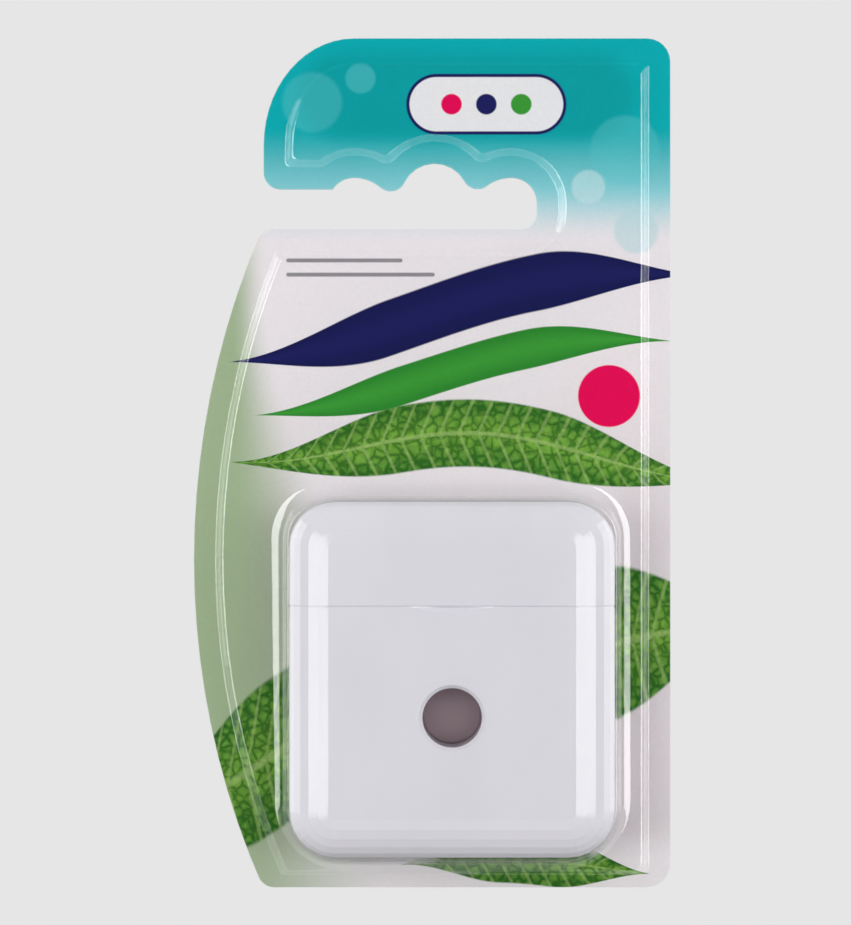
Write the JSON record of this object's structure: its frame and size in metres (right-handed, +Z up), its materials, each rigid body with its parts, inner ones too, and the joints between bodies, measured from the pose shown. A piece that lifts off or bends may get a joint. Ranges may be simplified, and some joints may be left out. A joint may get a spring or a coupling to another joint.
{
  "type": "dental floss dispenser",
  "caption": "Flip-top dental floss dispenser with spool and cutter, sealed in a clear blister on a hook-shaped hang card.",
  "frame": {"origin": "top of the hook slot's middle arch, on the back face of the hang card", "axes": "+Z up along the hanging card, +Y out of the card's back, away from the viewer, +X to the right as seen from the front"},
  "size_m": [0.0738, 0.0198, 0.1315],
  "materials": {
    "printed_board": "printed coated board",
    "clear_sheet": "clear formed sheet",
    "white_moulding": "glossy white moulding",
    "taupe_moulding": "taupe moulding",
    "cutter_steel": "stamped stainless",
    "core_moulding": "moulded bobbin",
    "waxed_floss": "waxed multifilament"
  },
  "bodies": {
    "hang_card": {"backing_card": "printed_board"},
    "blister": {"blister_shell": "clear_sheet"},
    "case": {"front_shell": "white_moulding", "rear_shell": "white_moulding", "outlet_deck": "white_moulding", "cutter": "cutter_steel", "spindle_plug": "taupe_moulding", "floss_lead": "waxed_floss"},
    "flip_lid": {"lid": "white_moulding"},
    "spool": {"floss_core": "core_moulding", "floss_winding": "waxed_floss"}
  },
  "joints": [
    {"name": "lid_hinge", "type": "hinge", "parent": "case", "child": "flip_lid", "pos_m": [0.0026, -0.002, -0.0681], "axis": [-1, 0, 0], "range_deg": [0, 105]},
    {"name": "spool_spin", "type": "hinge", "parent": "case", "child": "spool", "pos_m": [0.0026, -0.00975, -0.08485], "axis": [0, 1, 0], "continuous": true},
    {"name": "blister_lift_off", "type": "slide", "parent": "hang_card", "child": "blister", "axis": [0, -1, 0], "range_m": [0, 0.2571]},
    {"name": "case_lift_off", "type": "slide", "parent": "hang_card", "child": "case", "axis": [0, -1, 0], "range_m": [0, 0.0408]}
  ],
  "couplings": [
    {"joint": "blister_lift_off", "follows": "lid_hinge", "m_per_rad": 0.14},
    {"joint": "case_lift_off", "follows": "lid_hinge", "m_per_rad": 0.022}
  ]
}
